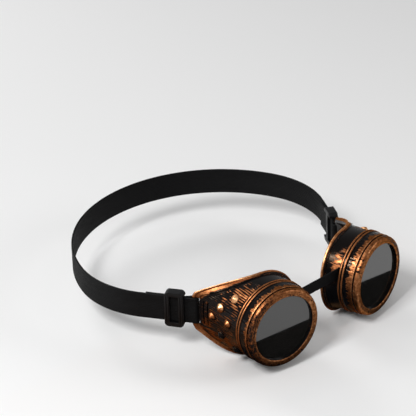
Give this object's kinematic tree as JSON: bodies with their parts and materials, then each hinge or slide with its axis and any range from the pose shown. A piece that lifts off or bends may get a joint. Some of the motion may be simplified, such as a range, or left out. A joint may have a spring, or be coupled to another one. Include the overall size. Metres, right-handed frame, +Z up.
{
  "type": "round-lens goggles on a head strap",
  "caption": "Goggles with two deep side-shielded eye cups, screw-on fluted lens rings over dark round lenses, a nose bridge band and an elastic head strap with sliders.",
  "frame": {"origin": "middle of the loop that the head strap forms, at the height of the lens centres", "axes": "+Z up, the lenses face -Y, +X towards the wearer's left"},
  "size_m": [0.2046, 0.2245, 0.0649],
  "materials": {
    "aged_copper": "copper paint rubbed over glossy black plastic",
    "ring_copper": "copper paint worn through to black in the flutes",
    "dark_lens": "polished, very dark grey",
    "gasket_rubber": "matte",
    "stud_copper": "polished copper plate with dark recesses",
    "screw_steel": "plain",
    "elastic": "woven black elastic",
    "slider_plastic": "moulded black"
  },
  "bodies": {
    "frame": {"right_eye_cup": "aged_copper", "left_eye_cup": "aged_copper", "right_cone_studs": "stud_copper", "left_cone_studs": "stud_copper", "right_stud_screws": "screw_steel", "left_stud_screws": "screw_steel", "bridge_strap": "elastic", "right_bridge_keeper": "screw_steel", "left_bridge_keeper": "screw_steel", "head_strap": "elastic"},
    "right_lens_set": {"right_lens": "dark_lens", "right_lens_gasket": "gasket_rubber"},
    "right_ring": {"right_lens_ring": "ring_copper"},
    "right_buckle": {"right_slider": "slider_plastic"},
    "left_lens_set": {"left_lens": "dark_lens", "left_lens_gasket": "gasket_rubber"},
    "left_ring": {"left_lens_ring": "ring_copper"},
    "left_buckle": {"left_slider": "slider_plastic"}
  },
  "joints": [
    {"name": "right_lens_travel", "type": "slide", "parent": "frame", "child": "right_lens_set", "axis": [-0.165, -0.9863, 0], "range_m": [0, 0.005]},
    {"name": "right_ring_turn", "type": "hinge", "parent": "right_lens_set", "child": "right_ring", "pos_m": [-0.0484, -0.1287, 0], "axis": [-0.165, -0.9863, 0], "range_deg": [0, 720]},
    {"name": "right_slider_slide", "type": "slide", "parent": "frame", "child": "right_buckle", "axis": [-0.5002, 0.8659, 0], "range_m": [0, 0.012]},
    {"name": "left_lens_travel", "type": "slide", "parent": "frame", "child": "left_lens_set", "axis": [0.165, -0.9863, 0], "range_m": [0, 0.005]},
    {"name": "left_ring_turn", "type": "hinge", "parent": "left_lens_set", "child": "left_ring", "pos_m": [0.0484, -0.1287, 0], "axis": [0.165, -0.9863, 0], "range_deg": [0, 720]},
    {"name": "left_slider_slide", "type": "slide", "parent": "frame", "child": "left_buckle", "axis": [0.5002, 0.8659, 0], "range_m": [0, 0.012]}
  ],
  "couplings": [
    {"joint": "right_lens_travel", "follows": "right_ring_turn", "m_per_rad": 0.0003978},
    {"joint": "left_lens_travel", "follows": "left_ring_turn", "m_per_rad": 0.0003978}
  ]
}
